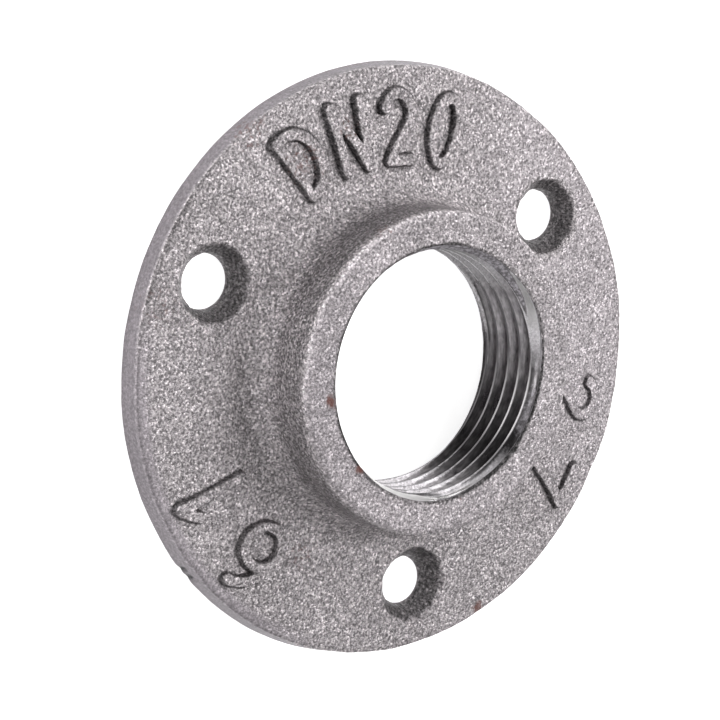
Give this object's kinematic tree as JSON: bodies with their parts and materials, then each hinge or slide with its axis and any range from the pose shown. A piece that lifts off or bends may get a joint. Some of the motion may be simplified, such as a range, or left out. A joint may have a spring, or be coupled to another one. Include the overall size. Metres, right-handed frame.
{
  "type": "threaded floor flange",
  "caption": "Round cast iron flange that screws down flat and takes a threaded pipe in its raised central boss.",
  "frame": {"origin": "centre of the flat back face, on the thread's axis", "axes": "+Z along the thread's axis, out of the boss; +Y towards one of the three screw holes"},
  "size_m": [0.06, 0.06, 0.0102],
  "materials": {
    "cast_body": "sand cast, grey, grainy"
  },
  "bodies": {
    "root": {"floor_flange": "cast_body"}
  },
  "joints": []
}
